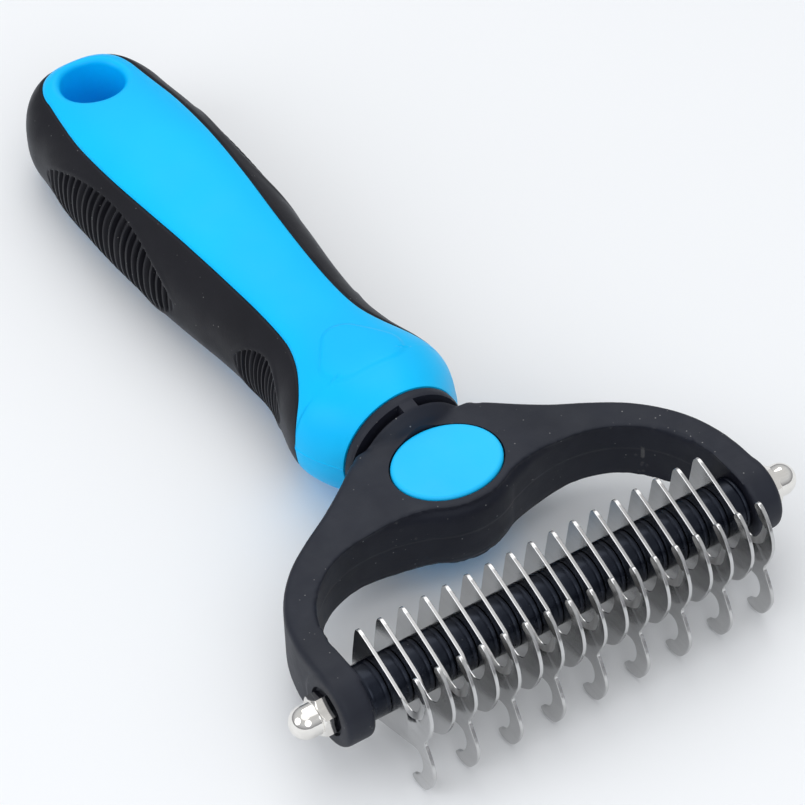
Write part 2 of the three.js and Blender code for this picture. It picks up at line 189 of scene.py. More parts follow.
def body_height(x, y):
    """Height of the handle's surface over the plan point x, y."""
    w = np.maximum(half_width(y), 1e-6)
    n = handle_value(3, y)
    inside = np.clip(1.0 - (np.abs(x) / w) ** n, 0.0, 1.0)
    return half_height(y) * inside ** (1.0 / n)


def make_mesh(name, vertices, faces, merge=0.0):
    """Object in the row frame from vertices in the tool's millimetres."""
    mesh = bpy.data.meshes.new(name)
    mesh.from_pydata([tuple(v) for v in np.asarray(vertices, float)], [], faces)
    bm = bmesh.new()
    bm.from_mesh(mesh)
    if merge > 0:
        bmesh.ops.remove_doubles(bm, verts=bm.verts, dist=merge)
    bmesh.ops.recalc_face_normals(bm, faces=bm.faces)
    for face in bm.faces:
        face.smooth = True
    bm.to_mesh(mesh)
    bm.free()
    mesh.transform(TOOL_TO_ROW)
    obj = bpy.data.objects.new(name, mesh)
    bpy.context.scene.collection.objects.link(obj)
    return obj


def grid_faces(rows, columns, close_columns=False, offset=0):
    faces = []
    last = columns if close_columns else columns - 1
    for r in range(rows - 1):
        for c in range(last):
            d = (c + 1) % columns
            a = offset + r * columns
            b = a + columns
            faces.append((a + c, a + d, b + d, b + c))
    return faces


def sharpen(obj, degrees):
    """Mark edges sharper than an angle, so that smooth shading stops at them."""
    bm = bmesh.new()
    bm.from_mesh(obj.data)
    limit = radians(degrees)
    for edge in bm.edges:
        if len(edge.link_faces) == 2 and edge.calc_face_angle(0.0) > limit:
            edge.smooth = False
    bm.to_mesh(obj.data)
    bm.free()


def apply_modifiers(obj):
    depsgraph = bpy.context.evaluated_depsgraph_get()
    mesh = bpy.data.meshes.new_from_object(obj.evaluated_get(depsgraph))
    obj.modifiers.clear()
    old = obj.data
    obj.data = mesh
    bpy.data.meshes.remove(old)


def resample(points, positions):
    """Points at given arc lengths along a polyline."""
    steps = np.linalg.norm(np.diff(points, axis=0), axis=1)
    along = np.concatenate([[0.0], np.cumsum(steps)])
    return np.stack([np.interp(positions, along, points[:, k]) for k in range(3)], axis=1)


def closed_spline(points, per_span):
    """Catmull-Rom curve through a closed loop of 2-D points."""
    p = np.asarray(points, float)
    out = []
    n = len(p)
    for i in range(n):
        a, b, c, d = p[i - 1], p[i], p[(i + 1) % n], p[(i + 2) % n]
        lengths = [sqrt(max(np.linalg.norm(v), 1e-9)) for v in (b - a, c - b, d - c)]
        t0 = 0.0
        t1 = t0 + lengths[0]
        t2 = t1 + lengths[1]
        t3 = t2 + lengths[2]
        for k in range(per_span):
            t = t1 + (t2 - t1) * k / per_span
            a1 = (t1 - t) / (t1 - t0) * a + (t - t0) / (t1 - t0) * b
            a2 = (t2 - t) / (t2 - t1) * b + (t - t1) / (t2 - t1) * c
            a3 = (t3 - t) / (t3 - t2) * c + (t - t2) / (t3 - t2) * d
            b1 = (t2 - t) / (t2 - t0) * a1 + (t - t0) / (t2 - t0) * a2
            b2 = (t3 - t) / (t3 - t1) * a2 + (t - t1) / (t3 - t1) * a3
            out.append((t2 - t) / (t2 - t1) * b1 + (t - t1) / (t2 - t1) * b2)
    return np.array(out)


def inward_normals(loop):
    """Unit normals pointing into a closed anticlockwise loop."""
    tangent = np.roll(loop, -1, axis=0) - np.roll(loop, 1, axis=0)
    tangent /= np.linalg.norm(tangent, axis=1)[:, None]
    return np.stack([-tangent[:, 1], tangent[:, 0]], axis=1)


def anticlockwise(loop):
    x, y = loop[:, 0], loop[:, 1]
    area = np.sum(x * np.roll(y, -1) - np.roll(x, -1) * y)
    return loop if area > 0 else loop[::-1]


# ---- materials ----
def new_material(name, **sockets):
    material = bpy.data.materials.new(name)
    material.use_nodes = True
    shader = material.node_tree.nodes["Principled BSDF"]
    for key, value in sockets.items():
        shader.inputs[key.replace("_", " ")].default_value = value
    return material, material.node_tree, shader


def add_node(tree, kind, **values):
    node = tree.nodes.new(kind)
    for key, value in values.items():
        if hasattr(node, key):
            setattr(node, key, value)
        else:
            node.inputs[key.replace("_", " ")].default_value = value
    return node


def noise(tree, coords, scale, detail=3.0, rough=0.55):
    node = add_node(tree, "ShaderNodeTexNoise", Scale=scale, Detail=detail, Roughness=rough)
    tree.links.new(coords, node.inputs["Vector"])
    return node.outputs["Fac"]


def ramp(tree, factor, stops):
    node = tree.nodes.new("ShaderNodeValToRGB")
    elements = node.color_ramp.elements
    while len(elements) < len(stops):
        elements.new(0.5)
    for element, (position, colour) in zip(elements, stops):
        element.position = position
        element.color = colour if len(colour) == 4 else (*colour, 1.0)
    tree.links.new(factor, node.inputs["Fac"])
    return node.outputs["Color"]


def grey(value):
    return (value, value, value, 1.0)


def mix_colour(tree, factor, a, b, mode="MIX"):
    node = tree.nodes.new("ShaderNodeMix")
    node.data_type = "RGBA"
    node.blend_type = mode
    for socket, value in (("Factor", factor), ("A", a), ("B", b)):
        target = [s for s in node.inputs if s.name == socket and s.enabled][0]
        if hasattr(value, "is_output"):
            tree.links.new(value, target)
        else:
            target.default_value = value
    return [s for s in node.outputs if s.enabled][0]


def add_bump(tree, shader, height, strength, distance):
    bump = add_node(tree, "ShaderNodeBump", Strength=strength, Distance=distance)
    tree.links.new(height, bump.inputs["Height"])
    tree.links.new(bump.outputs["Normal"], shader.inputs["Normal"])


def uneven_gloss(tree, shader, patches, roughness):
    """Roughness that wanders a little round its mean with the patches of a noise."""
    gloss = ramp(tree, patches, [(0.3, grey(roughness - 0.05)), (0.7, grey(roughness + 0.06))])
    tree.links.new(gloss, shader.inputs["Roughness"])


def object_coords(tree):
    return tree.nodes.new("ShaderNodeTexCoord").outputs["Object"]


def plastic(name, deep, pale, roughness, grain, grain_depth, **sockets):
    """Coloured moulded plastic: slow colour drift, fine spark-eroded grain and uneven gloss."""
    material, tree, shader = new_material(name, Roughness=roughness, **sockets)
    coords = object_coords(tree)
    drift = noise(tree, coords, 28.0, 2.0)
    colour = ramp(tree, drift, [(0.3, deep), (0.7, pale)])
    tree.links.new(colour, shader.inputs["Base Color"])
    uneven_gloss(tree, shader, noise(tree, coords, 160.0, 4.0), roughness)
    add_bump(tree, shader, noise(tree, coords, grain, 2.0), 0.35, grain_depth)
    return material


def dusty_black(name, dark, pale, roughness, grain, grain_depth, dust, wear=0.0, **sockets):
    """Black moulding or rubber: matte grain, faintly paler patches, specks of dust and rubbed edges."""
    material, tree, shader = new_material(name, Roughness=roughness, **sockets)
    coords = object_coords(tree)
    colour = ramp(tree, noise(tree, coords, 60.0, 5.0), [(0.3, dark), (0.75, pale)])
    cells = add_node(tree, "ShaderNodeTexVoronoi", Scale=650.0, Randomness=1.0)
    tree.links.new(coords, cells.inputs["Vector"])
    dots = ramp(tree, cells.outputs["Distance"], [(0.04, grey(1.0)), (0.11, grey(0.0))])
    rare = ramp(tree, noise(tree, coords, 330.0, 2.0), [(0.5, grey(0.0)), (0.58, grey(1.0))])
    speck = mix_colour(tree, 1.0, dots, rare, "MULTIPLY")
    amount = mix_colour(tree, 1.0, speck, grey(dust), "MULTIPLY")
    colour = mix_colour(tree, amount, colour, grey(0.3))
    if wear > 0:
        geometry = tree.nodes.new("ShaderNodeNewGeometry")
        ridge = ramp(tree, geometry.outputs["Pointiness"], [(0.53, grey(0.0)), (0.64, grey(wear))])
        scuffed = ramp(tree, noise(tree, coords, 240.0, 5.0, 0.7), [(0.46, grey(0.0)), (0.66, grey(1.0))])
        rubbed = mix_colour(tree, 1.0, ridge, scuffed, "MULTIPLY")
        colour = mix_colour(tree, rubbed, colour, grey(0.12))
    tree.links.new(colour, shader.inputs["Base Color"])
    uneven_gloss(tree, shader, noise(tree, coords, 210.0, 3.0), roughness)
    add_bump(tree, shader, noise(tree, coords, grain, 3.0), 0.5, grain_depth)
    return material


def tinted(value, tint):
    return tuple(value * t for t in tint)


def brushed_steel(name, stretch, low, high, smooth, rough, tint=(1.0, 1.0, 1.0)):
    """Stamped stainless sheet: fine grinding lines and faint smudges."""
    material, tree, shader = new_material(name, Metallic=1.0, Roughness=rough)
    coords = object_coords(tree)
    mapping = tree.nodes.new("ShaderNodeMapping")
    mapping.inputs["Scale"].default_value = stretch
    tree.links.new(coords, mapping.inputs["Vector"])
    lines = noise(tree, mapping.outputs["Vector"], 900.0, 4.0, 0.6)
    smudge = noise(tree, coords, 120.0, 3.0)
    tones = [(0.3, tinted(low, tint)), (0.7, tinted(high, tint))]
    colour = mix_colour(tree, 0.3, ramp(tree, lines, tones), ramp(tree, smudge, tones))
    tree.links.new(colour, shader.inputs["Base Color"])
    gloss = ramp(tree, lines, [(0.25, grey(smooth)), (0.75, grey(rough))])
    tree.links.new(gloss, shader.inputs["Roughness"])
    add_bump(tree, shader, lines, 0.25, 0.00002)
    return material


CORE_BLUE = plastic(
    "core_blue", (0.0, 0.49, 0.98), (0.0, 0.55, 1.0), 0.4, 2600.0, 0.00003,
    Specular_IOR_Level=0.17,
)
CAP_BLUE = plastic(
    "cap_blue", (0.004, 0.51, 0.98), (0.008, 0.56, 1.0), 0.45, 2600.0, 0.00003,
    Specular_IOR_Level=0.3,
)
GRIP_RUBBER = dusty_black(
    "grip_rubber", (0.0045, 0.0046, 0.0078), (0.0070, 0.0072, 0.0115), 0.56, 2200.0, 0.00005, 0.6,
    Specular_IOR_Level=0.22, Sheen_Weight=0.14, Sheen_Roughness=0.3, Sheen_Tint=(0.8, 0.88, 1.0, 1.0),
)
YOKE_BLACK = dusty_black(
    "yoke_black", (0.0072, 0.0080, 0.0150), (0.0105, 0.0117, 0.0215), 0.54, 1900.0, 0.00005, 0.8, 0.7,
    Specular_IOR_Level=0.38, Specular_Tint=(0.88, 0.94, 1.0, 1.0),
)
SPACER_BLACK = dusty_black(
    "spacer_black", (0.0012, 0.0018, 0.0042), (0.0020, 0.0030, 0.0070), 0.27, 1500.0, 0.00001, 0.25,
    Specular_IOR_Level=0.34, Specular_Tint=(0.66, 0.76, 1.0, 1.0),
)
BLADE_STEEL = brushed_steel("blade_steel", (1.0, 0.12, 1.0), 0.50, 0.60, 0.13, 0.22)
GROUND_STEEL = brushed_steel("ground_steel", (1.0, 1.0, 0.12), 0.62, 0.84, 0.40, 0.52)
NICKEL = brushed_steel("nickel", (0.1, 1.0, 1.0), 0.76, 0.90, 0.05, 0.11, (1.0, 0.975, 0.93))


# ---- handle ----
GRIP_DEPTH = 2.2
GRIP_EDGE_DROP = 0.3
GRIP_EDGE_ROLL = 0.55
CORE_COVERED_DEPTH = 2.5
CORE_EDGE_GAP = 0.12
CORE_EDGE_DROP = 0.28
CORE_EDGE_ROLL = 0.55
MOUTH_LIP = 0.08
PARTING_HEIGHT = 0.16
PARTING_WIDTH = 0.13
LIP_RADIUS = 1.8
CORE_ROW_STEP = 0.35
GRIP_ROW_STEP = 0.16
CORE_COLUMNS = 40
GRIP_COLUMNS = 46
COVERED_COLUMNS = 14


def taper_start():
    """Where the panel's edge leaves the parting line."""
    low, high = 55.5, 62.0
    for _ in range(50):
        middle = (low + high) / 2
        if panel_half_width(middle) > half_width(middle):
            low = middle
        else:
            high = middle
    return high


TIP_Y = taper_start()


def outline_reach(angle):
    """Distance from the hanging hole's centre to the handle's outline, at a plan angle."""
    low, high = 0.0, 20.0
    for _ in range(50):
        r = (low + high) / 2
        y = HANG_HOLE_Y + r * sin(angle)
        if y < BUTT_Y and r * cos(angle) < half_width(y):
            low = r
        else:
            high = r
    return low


def band_rows(step):
    """Plan points of the panel's edge and of the handle's outline, from the front tip to the butt."""
    front = np.linspace(TIP_Y, BUTT_CENTRE_Y, int((BUTT_CENTRE_Y - TIP_Y) / step))
    back = np.linspace(BUTT_CENTRE_Y, HANG_HOLE_Y, int((HANG_HOLE_Y - BUTT_CENTRE_Y) / step))[1:]
    edge, outline = [], []
    for y in np.concatenate([front, back]):
        w = half_width(y)
        edge.append((min(panel_half_width(y), w), y))
        outline.append((w, y))
    for angle in np.linspace(0, pi / 2, 56)[1:]:
        reach = outline_reach(angle)
        edge.append((PANEL_END_RADIUS * cos(angle), HANG_HOLE_Y + PANEL_END_RADIUS * sin(angle)))
        outline.append((reach * cos(angle), HANG_HOLE_Y + reach * sin(angle)))
    edge, outline = np.array(edge), np.array(outline)
    edge[-1, 0] = outline[-1, 0] = 0.0
    return edge, outline, len(front)


def lifted(plan):
    z = body_height(plan[:, 0], plan[:, 1])
    return np.column_stack([plan, z])


def band_row(edge, outline, columns, lead=()):
    """Points over the section from the panel's edge to the outline, and their distances from the edge.

    lead holds the first distances where they are to be closer than the rest."""
    t = np.sin(np.linspace(0, pi / 2, 200))[:, None]
    dense = lifted(edge + (outline - edge) * t)
    dense[-1, 2] = 0.0
    length = np.sum(np.linalg.norm(np.diff(dense, axis=0), axis=1))
    if lead:
        lead = [min(v, length * v / 3) for v in lead]
        spots = np.concatenate([lead, np.linspace(lead[-1], length, columns + 1)[1:]])
    else:
        spots = np.linspace(0, length, columns)
    return resample(dense, spots), spots


def grid_normals(grid):
    """Outward unit normals of a (rows, columns, 3) grid over one quarter of the handle."""
    along = np.gradient(grid, axis=0)
    across = np.gradient(grid, axis=1)
    normal = np.cross(along, across)
    length = np.linalg.norm(normal, axis=2, keepdims=True)
    normal = normal / np.maximum(length, 1e-9)
    middle = np.zeros_like(grid)
    middle[..., 1] = np.minimum(grid[..., 1], BUTT_CENTRE_Y)
    outward = np.sign(np.sum(normal * (grid - middle), axis=2, keepdims=True))
    normal = normal * np.where(outward == 0, 1, outward)
    weak = length[..., 0] < 1e-6
    normal[weak] = (1, 0, 0)
    return normal


def quarters(name, vertices, faces):
    """Closed object from one quarter, mirrored left to right and top to bottom."""
    vertices = np.asarray(vertices, float)
    all_vertices, all_faces = [], []
    for sx in (1, -1):
        for sz in (1, -1):
            base = len(all_vertices) * len(vertices)
            all_vertices.append(vertices * [sx, 1, sz])
            all_faces += [tuple(base + i for i in face) for face in faces]
    return make_mesh(name, np.concatenate(all_vertices), all_faces, merge=0.004)


def triangle_distance(x, y, corners, rounding):
    """Signed distance in the plane to a triangle with rounded corners; negative inside."""
    centre = np.mean(corners, axis=0)
    edges = []
    for i in range(3):
        a, b = np.array(corners[i], float), np.array(corners[(i + 1) % 3], float)
        along = (b - a) / np.linalg.norm(b - a)
        normal = np.array([along[1], -along[0]])
        normal *= np.sign(np.dot(a - centre, normal))
        edges.append((a - normal * rounding, along, normal))
    shrunk = []
    for i in range(3):
        (p, d, _), (q, _, n) = edges[i], edges[(i + 1) % 3]
        shrunk.append(p + d * np.dot(q - p, n) / np.dot(d, n))
    sides = [(x - p[0]) * n[0] + (y - p[1]) * n[1] for p, _, n in edges]
    inside = np.maximum(np.maximum(sides[0], sides[1]), sides[2])
    outside = np.full(np.shape(x), np.inf)
    for i in range(3):
        a, b = shrunk[i], shrunk[(i + 1) % 3]
        t = np.clip(((x - a[0]) * (b - a)[0] + (y - a[1]) * (b - a)[1]) / np.dot(b - a, b - a), 0, 1)
        outside = np.minimum(outside, np.hypot(x - a[0] - t * (b - a)[0], y - a[1] - t * (b - a)[1]))
    return np.where(inside < 0, inside, outside) - rounding


def thumb_pad(x, y):
    """Height of the faint rounded triangle behind the collar."""
    d = triangle_distance(x, y, THUMB_TRIANGLE, THUMB_ROUNDING)
    return THUMB_HEIGHT * (1 - smoothstep(-THUMB_EDGE, THUMB_EDGE, d))


def handle_core():
    lip = MOUTH_LIP
    edge_plan, outline, front_rows = band_rows(CORE_ROW_STEP)
    lip_rows = [MOUTH_Y + lip * (1 - cos(a)) for a in np.linspace(0, pi / 2, 7)][:-1]
    plain = np.linspace(MOUTH_Y + lip, TIP_Y, int((TIP_Y - MOUTH_Y - lip) / 0.4))[:-1]
    ys = np.concatenate([lip_rows, plain, edge_plan[:front_rows, 1]])
    spread = np.sin(np.linspace(0, pi / 2, 300))
    rows = []
    for y in ys:
        p = min(panel_half_width(y) - (CORE_EDGE_GAP if y > TIP_Y else 0), half_width(y))
        dense = lifted(np.column_stack([p * spread, np.full(300, y)]))
        if y <= TIP_Y:
            dense[-1, 2] = 0.0
        length = np.sum(np.linalg.norm(np.diff(dense, axis=0), axis=1))
        fine = length - np.array([0.8, 0.55, 0.36, 0.22, 0.11, 0.04, 0.0])
        spots = np.concatenate([np.linspace(0, fine[0], CORE_COLUMNS - 6)[:-1], fine])
        rows.append(resample(dense, spots))
    grid = np.array(rows)
    columns = grid.shape[1]
    normals = grid_normals(grid)
    normals[:, 0, 0] = 0
    ring = ys <= TIP_Y
    normals[ring, -1] = (1, 0, 0)
    from_edge = np.cumsum(np.linalg.norm(np.diff(grid[:, ::-1], axis=1), axis=2), axis=1)
    from_edge = np.concatenate([np.zeros((len(grid), 1)), from_edge], axis=1)[:, ::-1]
    rolled = smoothstep(TIP_Y, TIP_Y + 3, ys)[:, None]
    drop = CORE_EDGE_DROP * (1 - smoothstep(0.0, CORE_EDGE_ROLL, from_edge)) * rolled
    drop = drop + np.array([lip - sqrt(max(lip**2 - max(MOUTH_Y + lip - y, 0) ** 2, 0)) for y in ys])[:, None]
    parting = PARTING_HEIGHT * np.exp(-((grid[:, :, 2] / PARTING_WIDTH) ** 2)) * (ys < TIP_Y + 0.5)[:, None]
    raise_pad = thumb_pad(grid[:, :, 0], grid[:, :, 1]) * smoothstep(2, 5, grid[:, :, 2])
    grid = grid + normals * (raise_pad + parting - drop)[:, :, None]
    grid[:, 0, 0] = 0
    grid[ring, -1, 2] = 0

    # mouth: flat face, then the bore that takes the shank
    angle = np.arctan2(grid[0, :, 2], grid[0, :, 0])
    bore = np.column_stack([SOCKET_RADIUS * np.cos(angle), np.zeros(columns), SOCKET_RADIUS * np.sin(angle)])
    bore[0, 0] = bore[-1, 2] = 0
    front = [bore * 0 + [0, SOCKET_END_Y, 0], bore + [0, SOCKET_END_Y, 0], bore + [0, MOUTH_Y, 0]]
    vertices = list(np.concatenate([np.concatenate(front), grid.reshape(-1, 3)]))
    faces = grid_faces(len(grid) + 3, columns)

    # covered side: wall at the panel's edge, then the surface under the rubber
    count = len(edge_plan)
    sides = np.array([band_row(edge_plan[i], outline[i], COVERED_COLUMNS)[0] for i in range(count)])
    span = np.sum(np.linalg.norm(np.diff(sides, axis=1), axis=2), axis=1)
    depth = CORE_COVERED_DEPTH * smoothstep(0.0, 5.0, span)
    side_normals = grid_normals(sides)
    side_normals[:, -1, 2] = 0
    side_normals[-1, :, 0] = 0
    side_normals /= np.maximum(np.linalg.norm(side_normals, axis=2, keepdims=True), 1e-9)
    covered = sides - side_normals * depth[:, None, None]
    covered[:, -1, 2] = 0
    covered[-1, :, 0] = 0
    edge_points = np.empty((count, 3))
    edge_points[:front_rows] = grid[-front_rows:, -1]
    for i in range(front_rows, count):
        direction = edge_plan[i] - [0, HANG_HOLE_Y]
        inner = edge_plan[i] - direction / np.linalg.norm(direction) * CORE_EDGE_GAP
        top = lifted(inner[None])[0]
        edge_points[i] = top - side_normals[i, 0] * CORE_EDGE_DROP
    edge_points[-1, 0] = 0
    strip = np.concatenate([edge_points[:, None], covered], axis=1)
    base = len(vertices)
    vertices += list(strip.reshape(-1, 3))
    faces += grid_faces(count, strip.shape[1], offset=base)

    # round the hanging hole
    loop = np.concatenate([grid[-1], edge_points[front_rows:]])
    on_line = np.arange(len(loop)) < columns
    plan = loop[:, :2] - [0, HANG_HOLE_Y]
    reach = np.linalg.norm(plan, axis=1)
    plan_direction = plan / reach[:, None]
    lip_edge = HANG_HOLE_RADIUS + LIP_RADIUS
    rings = [loop]
    near = np.array([0.07, 0.18, 0.32, 0.5, 0.75])
    span = reach - lip_edge
    fine = np.minimum(near[:, None], span * np.array([0.05, 0.11, 0.18, 0.25, 0.32])[:, None])
    coarse = fine[-1] + (span - fine[-1]) * np.linspace(0, 1, 12)[1:, None]
    for moved in np.concatenate([fine, coarse]):
        spot = plan_direction * (reach - moved)[:, None] + [0, HANG_HOLE_Y]
        points = lifted(spot)
        to_side = panel_half_width(spot[:, 1]) - CORE_EDGE_GAP - np.abs(spot[:, 0])
        inset = np.where(on_line, to_side, moved)
        points[:, 2] -= CORE_EDGE_DROP * (1 - smoothstep(0.0, CORE_EDGE_ROLL, inset))
        rings.append(points)
    for a in np.linspace(0, pi / 2, 9)[1:]:
        r = HANG_HOLE_RADIUS + LIP_RADIUS * (1 - sin(a))
        points = lifted(plan_direction * r + [0, HANG_HOLE_Y])
        points[:, 2] -= LIP_RADIUS * (1 - cos(a))
        rings.append(points)
    wall_top = rings[-1]
    for share in (0.66, 0.33, 0.0):
        rings.append(wall_top * [1, 1, share])
    rings = np.array(rings)
    rings[:, 0, 0] = 0
    rings[:, -1, 0] = 0
    base = len(vertices)
    vertices += list(rings.reshape(-1, 3))
    faces += grid_faces(len(rings), rings.shape[1], offset=base)
    core = quarters("handle_core_panel", vertices, faces)
    # the bulb rests on the floor, so nothing raised goes below it
    for vertex in core.data.vertices:
        vertex.co.z = max(vertex.co.z, 0.0)
    sharpen(core, 55)
    return core


def lens_depth(y, z, centre, half, rise):
    """Distance inside the lens outline of a grip panel; negative outside."""
    across = np.maximum(np.abs(z) / rise, 1e-4)
    along = (y - centre) / half
    field = across ** (1 / 0.7) + along**2 - 1
    slope_z = across ** (0.3 / 0.7) / (0.7 * rise)
    slope_y = 2 * np.abs(along) / half
    return -field / np.sqrt(slope_z**2 + slope_y**2 + 1e-3)


def grip_relief(points):
    """Height of the rubber's surface above the plain handle form: rims, recesses and ribs."""
    y, z = points[..., 1], points[..., 2]
    relief = np.zeros_like(y)
    for centre, half, rise, pitch, depth in GRIP_PANELS:
        inside = lens_depth(y, z, centre, half, rise)
        recess = smoothstep(-0.05, 0.3, inside)
        lift = np.clip(np.abs(z) / rise, 0, 1.2)
        phase = (y - centre) / pitch
        wave = 0.5 + 0.5 * np.cos(2 * pi * phase)
        rib = smoothstep(0.38, 0.8, wave) * recess
        floor = depth * smoothstep(-0.05, 0.4, 1 - ((y - centre) / half) ** 2)
        rib_top = 0.04 + 0.1 * lift**1.5
        relief = relief - floor * recess + (floor - rib_top) * rib
        raised = 0.22 * np.exp(-(((inside + 0.55) / 0.5) ** 2)) * (inside < 0.2)
        top_fade = 1 - 0.6 * smoothstep(0.8, 1.1, lift)
        relief = relief + raised * smoothstep(0.1, 0.8, lift) * top_fade
    return relief


def handle_grip():
    edge_plan, outline, _ = band_rows(GRIP_ROW_STEP)
    lead = (0.0, 0.05, 0.12, 0.22, 0.36, 0.55)
    rows, distance = [], []
    for i in range(len(edge_plan)):
        points, spots = band_row(edge_plan[i], outline[i], GRIP_COLUMNS, lead)
        rows.append(points)
        distance.append(spots)
    grid = np.array(rows)
    distance = np.array(distance)
    normals = grid_normals(grid)
    normals[:, -1, 2] = 0
    normals[-1, :, 0] = 0
    normals /= np.maximum(np.linalg.norm(normals, axis=2, keepdims=True), 1e-9)
    span = distance[:, -1]
    fade = smoothstep(0.0, 4.0, span)[:, None]
    relief = grip_relief(grid) * fade
    roll = GRIP_EDGE_DROP * (1 - smoothstep(0.0, GRIP_EDGE_ROLL, distance)) * fade
    outer = grid + normals * (relief - roll)[:, :, None]
    depth = GRIP_DEPTH * smoothstep(0.0, 5.0, span)
    inner = grid - normals * depth[:, None, None]
    for part in (outer, inner):
        part[:, -1, 2] = 0
        part[-1, :, 0] = 0
    coarse = list(range(0, inner.shape[1] - 1, 6)) + [inner.shape[1] - 1]
    shell = np.concatenate([inner[:, coarse[::-1]], outer], axis=1)
    faces = grid_faces(len(shell), shell.shape[1])
    grip = quarters("handle_grip_rubber", shell.reshape(-1, 3), faces)
    sharpen(grip, 60)
    return grip


# ---- yoke ----
YOKE_OUTER = [
    (12.0, 43.4), (15.0, 41.4), (19.2, 38.3), (25, 34.5), (31, 30.9), (36.2, 27.2), (40.4, 22.8),
    (43.5, 17.8), (45.3, 12.4), (46.1, 6.8), (46.2, 0), (46.2, -3),
]
YOKE_INNER = [
    (40.6, -3), (40.6, 2.0), (40.5, 7.0), (39.4, 12.2), (37.2, 17.0), (34.2, 20.6), (30.3, 23.4),
    (25.8, 25.1), (21, 25.7), (16.2, 25.3), (11.6, 24.1), (6.2, 22.2), (0, 21.4),
]
NECK_SMOOTHING_STEPS = 26
# depth of the mould step on the arms' inner walls, and the heights that it fades out between
MOULD_STEP = 0.16
MOULD_STEP_FADE = (0.2, 0.65)
# how far the cutters run past the moulding: above the hub, and out of and into a knuckle
HUB_CUTTER_TOP = 12.0
NUT_CUTTER_OUTER = 60
NUT_CUTTER_INNER = 30


def open_spline(points, per_span):
    """Smooth curve through an open run of 2-D points."""
    p = np.asarray(points, float)
    padded = np.vstack([2 * p[0] - p[1], p, 2 * p[-1] - p[-2]])
    out = []
    for i in range(1, len(padded) - 2):
        a, b, c, d = padded[i - 1:i + 3]
        for k in range(per_span):
            t = k / per_span
            square = (2 * a - 5 * b + 4 * c - d) * t * t
            cube = (3 * b - a - 3 * c + d) * t**3
            out.append(0.5 * (2 * b + (c - a) * t + square + cube))
    out.append(p[-1])
    return np.array(out)


def bevelled_slab(name, loop, half, radius, steps=6):
    """Plate between -half and half with an outline and a rounded edge; radius may vary along it."""
    loop = anticlockwise(np.asarray(loop, float))
    radius = radius(loop) if callable(radius) else np.full(len(loop), radius)
    inward = inward_normals(loop)
    rings = []
    for a in np.linspace(0, pi / 2, steps):
        inset = radius * (1 - sin(a))
        z = half - radius * (1 - cos(a))
        rings.append(np.column_stack([loop + inward * inset[:, None], z]))
    rings += [r * [1, 1, -1] for r in rings[::-1]]
    rings = np.array(rings)
    n = len(loop)
    faces = grid_faces(len(rings), n, close_columns=True)
    faces.append(tuple(range(n)))
    faces.append(tuple((len(rings) - 1) * n + i for i in reversed(range(n))))
    return make_mesh(name, rings.reshape(-1, 3), faces)


def rounded_corner(r, s, radius, side, steps=4):
    """(radius, position) points of a quarter round at a rim, from the face to the outside."""
    points = []
    for a in np.linspace(0, pi / 2, steps):
        points.append((r - radius * (1 - sin(a)), s + side * radius * (1 - cos(a))))
    return points


def ellipse(a, b, cy, count=180):
    t = np.arange(count) * 2 * pi / count
    return np.column_stack([a * np.cos(t), cy + b * np.sin(t)])


def turned(name, profile, axis, segments=96):
    """Solid of revolution from (radius, position) pairs about X or Y."""
    rows = []
    for r, s in profile:
        t = np.arange(segments) * 2 * pi / segments
        c, d = r * np.cos(t), r * np.sin(t)
        along = np.full(segments, s)
        rows.append(np.column_stack([along, c, d] if axis == "X" else [c, along, d]))
    rows = np.array(rows)
    faces = grid_faces(len(rows), segments, close_columns=True)
    return make_mesh(name, rows.reshape(-1, 3), faces, merge=0.0005)


def join(name, objects):
    bm = bmesh.new()
    for obj in objects:
        bm.from_mesh(obj.data)
        mesh = obj.data
        bpy.data.objects.remove(obj)
        bpy.data.meshes.remove(mesh)
    mesh = bpy.data.meshes.new(name)
    bm.to_mesh(mesh)
    bm.free()
    joined = bpy.data.objects.new(name, mesh)
    bpy.context.scene.collection.objects.link(joined)
    return joined


def remesh(obj, voxel, smooth_steps):
    modifier = obj.modifiers.new("remesh", "REMESH")
    modifier.mode = "VOXEL"
    modifier.voxel_size = voxel * MM
    modifier.use_smooth_shade = True
    if smooth_steps:
        soften = obj.modifiers.new("soften", "SMOOTH")
        soften.factor = 0.5
        soften.iterations = smooth_steps
    apply_modifiers(obj)


def tool_points(obj):
    flat = np.empty(len(obj.data.vertices) * 3)
    obj.data.vertices.foreach_get("co", flat)
    matrix = np.array(TOOL_TO_ROW.inverted())
    return flat.reshape(-1, 3) @ matrix[:3, :3].T + matrix[:3, 3]


def set_tool_points(obj, points):
    matrix = np.array(TOOL_TO_ROW)
    world = points @ matrix[:3, :3].T + matrix[:3, 3]
    obj.data.vertices.foreach_set("co", world.reshape(-1))
    obj.data.update()


def cut(obj, cutters):
    """Takes the joined cutters out of obj."""
    cutter = join("cutter", cutters)
    modifier = obj.modifiers.new("cut", "BOOLEAN")
    modifier.operation = "DIFFERENCE"
    modifier.solver = "EXACT"
    modifier.object = cutter
    apply_modifiers(obj)
    mesh = cutter.data
    bpy.data.objects.remove(cutter)
    bpy.data.meshes.remove(mesh)


def soften_neck(body):
    """Runs the hub's flat faces and the neck into each other."""
    points = tool_points(body)
    along = (points[:, 1] > 36.5) & (points[:, 1] < 42.6)
    region = along & (np.abs(points[:, 2]) > 4.5) & (np.abs(points[:, 0]) < 14)
    bm = bmesh.new()
    bm.from_mesh(body.data)
    bm.verts.ensure_lookup_table()
    chosen = [bm.verts[i] for i in np.nonzero(region)[0]]
    for _ in range(NECK_SMOOTHING_STEPS):
        bmesh.ops.smooth_vert(bm, verts=chosen, factor=0.5, use_axis_x=True, use_axis_y=True, use_axis_z=True)
    bm.to_mesh(body.data)
    bm.free()


